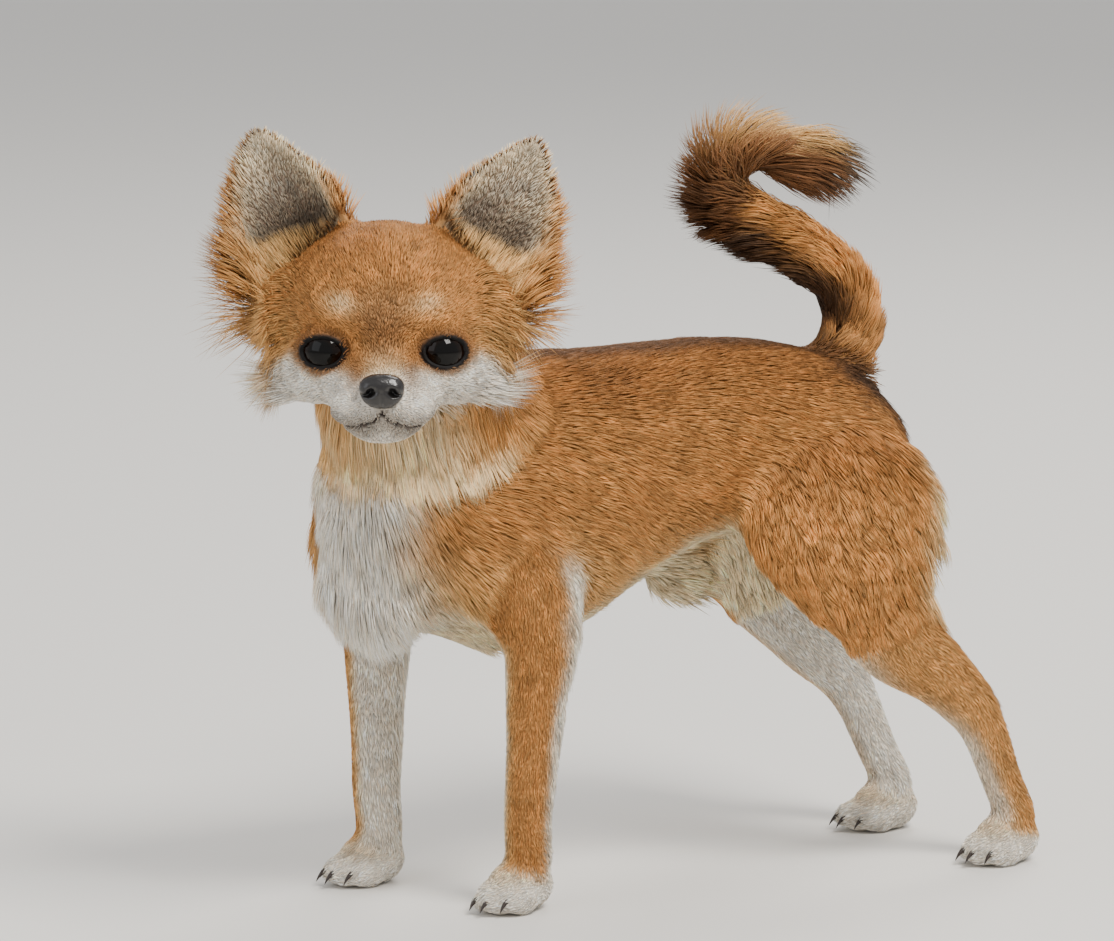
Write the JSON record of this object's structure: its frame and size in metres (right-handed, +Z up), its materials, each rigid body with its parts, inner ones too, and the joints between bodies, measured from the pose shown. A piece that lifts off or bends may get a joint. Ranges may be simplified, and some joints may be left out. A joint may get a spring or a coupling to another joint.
{
  "type": "long-haired chihuahua model",
  "caption": "Life-size standing long-haired chihuahua with its head turned to its left, upright ears, a ruff, feathered legs and a plumed tail carried over the back.",
  "frame": {"origin": "middle of the bounding box seen from above, on the ground under the feet", "axes": "+Z up, the body looks along -Y, its left side is towards +X, and the head is turned to its left"},
  "size_m": [0.1422, 0.3008, 0.2751],
  "materials": {
    "fur_tan": "long soft tan coat",
    "fur_cream": "short cream coat",
    "fur_sable": "long dark brown coat with golden ends",
    "eye_dark": "wet gloss",
    "nose_black": "moist satin"
  },
  "bodies": {
    "root": {"ear_l": "fur_tan", "ear_r": "fur_tan", "eye_l": "eye_dark", "eye_r": "eye_dark", "foreleg_l": "fur_tan", "foreleg_r": "fur_tan", "forepaw_l": "fur_cream", "forepaw_r": "fur_cream", "head": "fur_tan", "hindpaw_l": "fur_cream", "hindpaw_r": "fur_cream", "neck": "fur_tan", "nose": "nose_black", "shank_l": "fur_tan", "shank_r": "fur_tan", "tail_base": "fur_sable", "tail_end": "fur_sable", "tail_middle": "fur_sable", "thigh_l": "fur_tan", "thigh_r": "fur_tan", "torso": "fur_tan"}
  },
  "joints": []
}
